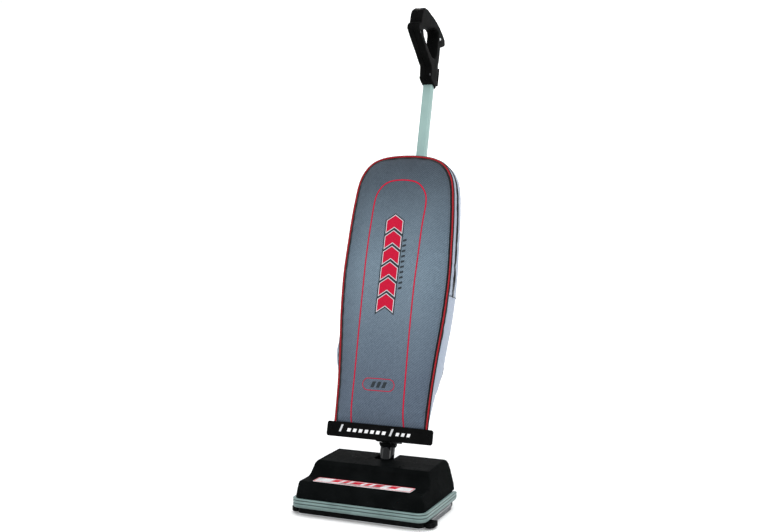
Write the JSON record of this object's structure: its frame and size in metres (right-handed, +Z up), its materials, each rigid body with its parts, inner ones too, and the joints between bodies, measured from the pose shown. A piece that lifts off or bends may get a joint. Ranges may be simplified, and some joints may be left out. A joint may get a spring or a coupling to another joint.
{
  "type": "upright vacuum cleaner",
  "caption": "Upright vacuum cleaner with low motor base, driven brush roll, reclining handle tube, soft zipped outer bag and loop grip with rocker switch.",
  "frame": {"origin": "on the floor, on the skid of the sole plate, under the middle of the base", "axes": "+Z up, -Y to the front of the machine (nose), +X to its left-hand side as it faces you from behind the nose; handle leans back towards +Y"},
  "size_m": [0.353, 0.5225, 1.1899],
  "materials": {
    "black_plastic": "fine moulded texture",
    "gloss_black": "polished",
    "bumper_vinyl": "satin vinyl",
    "steel": "satin",
    "tube_aluminium": "satin anodised",
    "copper": "wound and laminated",
    "black_rubber": "matt",
    "grey_plastic": "matt",
    "brush_wood": "varnished",
    "bristle": "tufted",
    "bag_cloth": "twill weave",
    "gusset_cloth": "plain weave",
    "piping_red": "corded",
    "paper": "paper",
    "trim_panel": "smooth",
    "carbon": "matt"
  },
  "bodies": {
    "base": {"base_frame": "black_plastic", "sole_plate": "steel", "bumper": "bumper_vinyl", "hood": "black_plastic", "nose_panel": "trim_panel", "hood_screw_left": "steel", "hood_screw_right": "steel", "edge_brush_holder_left": "black_plastic", "edge_brush_holder_right": "black_plastic", "edge_bristles_left": "bristle", "edge_bristles_right": "bristle", "brush_axle": "steel", "brush_end_cap_left": "grey_plastic", "brush_end_cap_right": "grey_plastic", "drive_belt": "black_rubber", "motor_housing": "steel", "motor_end_cap": "black_plastic", "stator": "copper", "bearing_left": "steel", "bearing_right": "steel", "carbon_brush_front": "carbon", "carbon_brush_rear": "carbon", "fan_housing_outer": "grey_plastic", "fan_housing_inner": "grey_plastic", "inlet_duct": "grey_plastic", "transfer_duct": "grey_plastic", "pivot_block_left": "black_plastic", "pivot_block_right": "black_plastic", "rear_axle": "steel"},
    "rotor": {"motor_shaft": "steel", "armature": "copper", "commutator": "copper", "motor_pulley": "steel", "fan_impeller": "grey_plastic"},
    "brush": {"brush_roll": "brush_wood"},
    "left_wheel": {"wheel_left": "black_rubber"},
    "right_wheel": {"wheel_right": "black_rubber"},
    "handle": {"neck_duct": "gloss_black", "neck_collar": "black_plastic", "lower_bracket": "black_plastic", "bag_plate": "black_plastic", "handle_tube": "tube_aluminium", "power_lead": "black_rubber", "tube_clamp": "black_plastic", "fill_tube": "grey_plastic", "bag_dock": "paper", "paper_bag": "paper", "bag_body": "gusset_cloth", "bag_front": "bag_cloth", "bag_piping": "piping_red", "zip_tape": "gusset_cloth", "cord_hook_lower": "black_plastic", "grip_left": "black_plastic", "grip_right": "black_plastic", "switch_body": "black_plastic", "cord_gland": "black_rubber", "grip_screw": "steel"},
    "switch": {"switch_rocker": "grey_plastic"},
    "cord_hook": {"cord_hook_upper": "black_plastic"},
    "zip_pull": {"zip_slider": "steel"}
  },
  "joints": [
    {"name": "handle_recline", "type": "hinge", "parent": "base", "child": "handle", "pos_m": [0, 0.043, 0.078], "axis": [-1, 0, 0], "range_deg": [0, 70]},
    {"name": "rotor_spin", "type": "hinge", "parent": "base", "child": "rotor", "pos_m": [0, 0, 0.062], "axis": [1, 0, 0], "continuous": true},
    {"name": "brush_spin", "type": "hinge", "parent": "base", "child": "brush", "pos_m": [0, -0.0855, 0.0245], "axis": [1, 0, 0], "continuous": true},
    {"name": "left_wheel_spin", "type": "hinge", "parent": "base", "child": "left_wheel", "pos_m": [-0.112, 0.08, 0.02], "axis": [1, 0, 0], "continuous": true},
    {"name": "right_wheel_spin", "type": "hinge", "parent": "base", "child": "right_wheel", "pos_m": [0.112, 0.08, 0.02], "axis": [1, 0, 0], "continuous": true},
    {"name": "switch_rock", "type": "hinge", "parent": "handle", "child": "switch", "pos_m": [0, 0.25177, 1.18386], "axis": [1, 0, 0], "range_deg": [0, 16]},
    {"name": "cord_hook_swivel", "type": "hinge", "parent": "handle", "child": "cord_hook", "pos_m": [0, 0.34501, 1.02995], "axis": [0, 0.9639, -0.2664], "range_deg": [0, 180]},
    {"name": "zip_slide", "type": "slide", "parent": "handle", "child": "zip_pull", "axis": [0, 0.2664, 0.9639], "range_m": [0, 0.08]}
  ],
  "couplings": [
    {"joint": "brush_spin", "follows": "rotor_spin", "ratio": 0.487}
  ]
}
